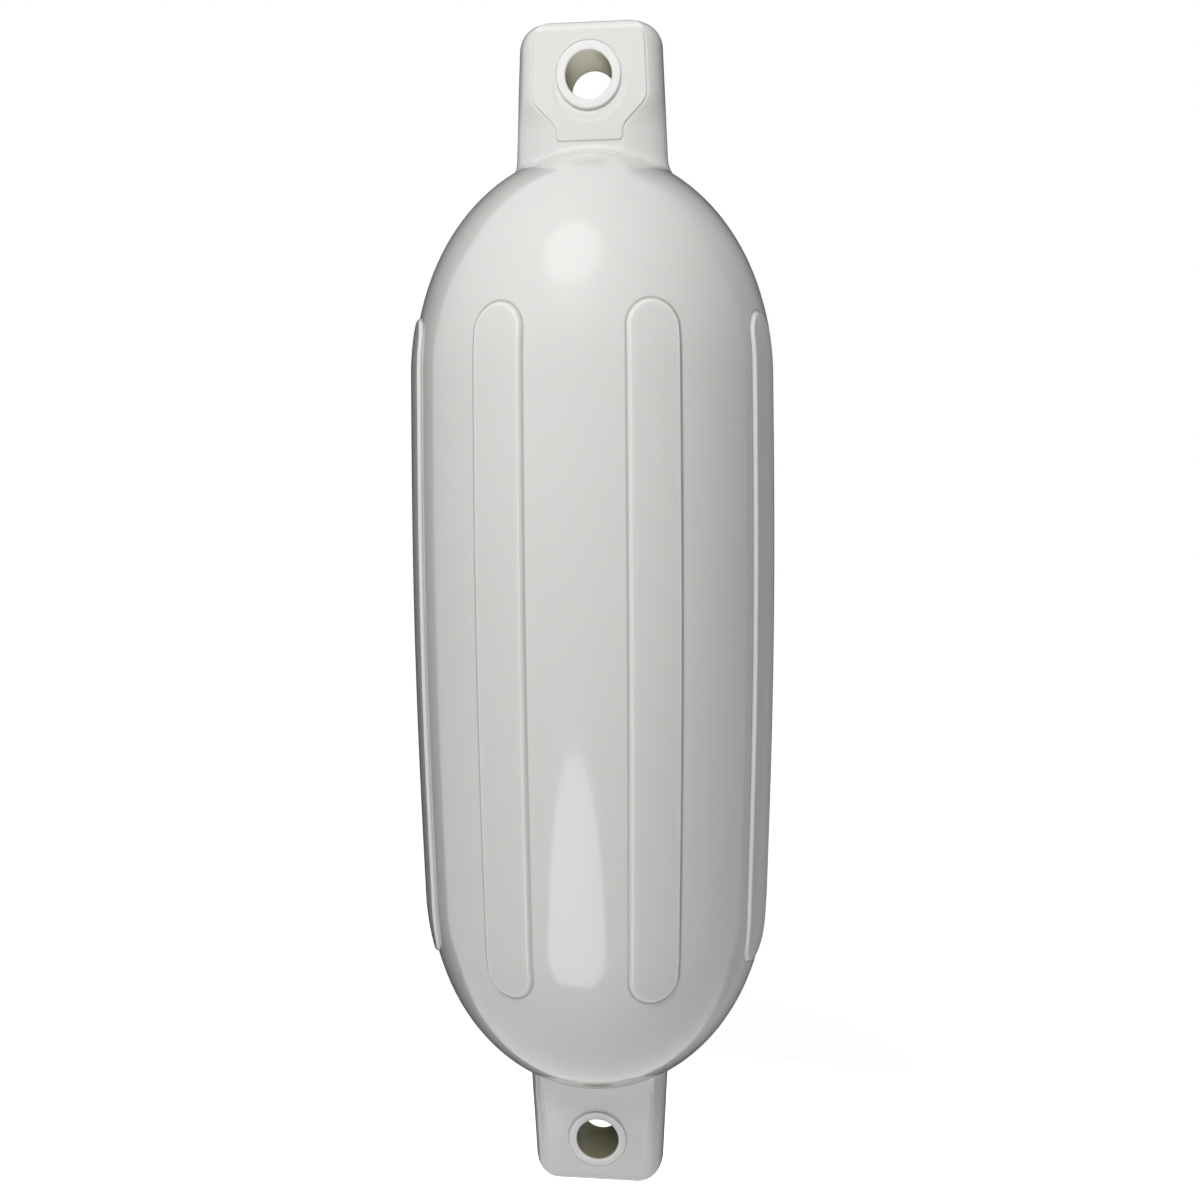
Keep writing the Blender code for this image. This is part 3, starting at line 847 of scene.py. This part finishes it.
world = bpy.data.worlds.new("studio")
bpy.context.scene.world = world
world.use_nodes = True
world_nodes, world_links = world.node_tree.nodes, world.node_tree.links
surround = world_nodes["Background"]
surround.inputs["Color"].default_value = plain_white
surround.inputs["Strength"].default_value = surround_strength
backdrop = world_nodes.new("ShaderNodeBackground")
backdrop.inputs["Color"].default_value = plain_white
backdrop.inputs["Strength"].default_value = backdrop_strength
choose = world_nodes.new("ShaderNodeMixShader")
world_links.new(seen_directly(world_nodes, world_links), choose.inputs[0])
world_links.new(surround.outputs[0], choose.inputs[1])
world_links.new(backdrop.outputs[0], choose.inputs[2])
world_links.new(choose.outputs[0], world_nodes["World Output"].inputs[0])


def soft_lamp(name, place, aim, width, height, power):
    """A round or oval lamp of this width and height, aimed at a point on or near the fender."""
    lamp = bpy.data.lights.new(name, "AREA")
    lamp.shape = "DISK" if width == height else "ELLIPSE"
    lamp.size = width
    lamp.size_y = height
    lamp.energy = power
    made = bpy.data.objects.new(name, lamp)
    bpy.context.scene.collection.objects.link(made)
    made.location = place
    made.rotation_euler = (Vector(aim) - Vector(place)).to_track_quat("-Z", "Y").to_euler()
    return made


key = soft_lamp("round key", (-0.20, -0.9, 0.75), (0.0, 0.0, -0.15), 0.6, 0.6, 7.4)
key.visible_glossy = False
top_lamp = soft_lamp("small top lamp", (-0.05, -0.6, 0.24), (0.0, 0.0, 0.0), 0.3, 0.3, 1.5)
top_lamp.visible_glossy = False
back_lamp = soft_lamp("back lamp", (0.15, 1.0, -0.42), (0.0, 0.0, -0.1), 0.5, 0.5, 7.0)
back_lamp.visible_glossy = False
round_lamp = soft_lamp("round lamp", (-0.22, -1.0, 1.27), (0.0, 0.0, -0.1), 0.95, 0.95, 3.3)
round_lamp.visible_diffuse = False
soft_lamp("low panel", (-0.13, -0.93, -0.80), (-0.08, -0.43, 0.065), 0.58, 0.68, 2.6)

# The dark card, a help of the studio and no part of the fender. It stands behind, and only the gloss sees it,
# so that the fender's outline shows against the white. It is black, and greyer towards the right.
card_half_width = 0.75
card_behind = 0.25
card_foot = -0.94
card_top = 0.5
wing_start = 0.10
wing_end = 0.32
card_black = 0.01
wing_grey = 0.60


def dark_card():
    """The card, which glows more towards its right."""
    corners = [(-card_half_width, card_behind, card_foot), (card_half_width, card_behind, card_foot),
               (card_half_width, card_behind, card_top), (-card_half_width, card_behind, card_top)]
    mesh = bpy.data.meshes.new("dark card")
    mesh.from_pydata(corners, [], [(0, 1, 2, 3)])
    card = bpy.data.objects.new("dark card", mesh)
    bpy.context.scene.collection.objects.link(card)
    material = bpy.data.materials.new("black card with a grey wing")
    material.use_nodes = True
    nodes, links = material.node_tree.nodes, material.node_tree.links
    nodes.clear()
    place = nodes.new("ShaderNodeTexCoord")
    split = nodes.new("ShaderNodeSeparateXYZ")
    links.new(place.outputs["Object"], split.inputs[0])
    wing = nodes.new("ShaderNodeMapRange")
    links.new(split.outputs[0], wing.inputs["Value"])
    wing.inputs["From Min"].default_value = wing_start
    wing.inputs["From Max"].default_value = wing_end
    wing.inputs["To Min"].default_value = card_black
    wing.inputs["To Max"].default_value = wing_grey
    glow = nodes.new("ShaderNodeEmission")
    links.new(wing.outputs["Result"], glow.inputs["Strength"])
    output = nodes.new("ShaderNodeOutputMaterial")
    links.new(glow.outputs[0], output.inputs[0])
    mesh.materials.append(material)
    card.visible_camera = False
    card.visible_diffuse = False
    card.visible_transmission = False
    card.visible_shadow = False
    return card


dark_card()

# The camera. It stands close, a little above mid-length and to the right, and looks slightly down, as the
# picture was taken. Its focal length is given in pixels of the picture.
camera_distance = 0.51672
camera_turn = 0.0984
camera_height = mid_height + 0.08275
camera_yaw = camera_turn - 0.0040
camera_pitch = -0.1254
camera_roll = -0.0077
focal_pixels = 1072.48
picture_pixels = 1200


def photo_camera():
    lens = bpy.data.cameras.new("camera")
    lens.sensor_width = 36.0
    lens.lens = focal_pixels / picture_pixels * lens.sensor_width
    lens.clip_start = 0.01
    camera = bpy.data.objects.new("camera", lens)
    bpy.context.scene.collection.objects.link(camera)
    forward = Vector((-math.sin(camera_yaw) * math.cos(camera_pitch),
                      math.cos(camera_yaw) * math.cos(camera_pitch), math.sin(camera_pitch)))
    right = forward.cross(Vector((0.0, 0.0, 1.0))).normalized()
    above = right.cross(forward)
    c, s = math.cos(camera_roll), math.sin(camera_roll)
    right, above = c * right + s * above, -s * right + c * above
    turned = Matrix((right, above, -forward)).transposed().to_4x4()
    place = Vector((camera_distance * math.sin(camera_turn), -camera_distance * math.cos(camera_turn),
                    camera_height))
    camera.matrix_world = Matrix.Translation(place) @ turned
    return camera


bpy.context.scene.camera = photo_camera()
bpy.context.scene.view_settings.view_transform = "Standard"
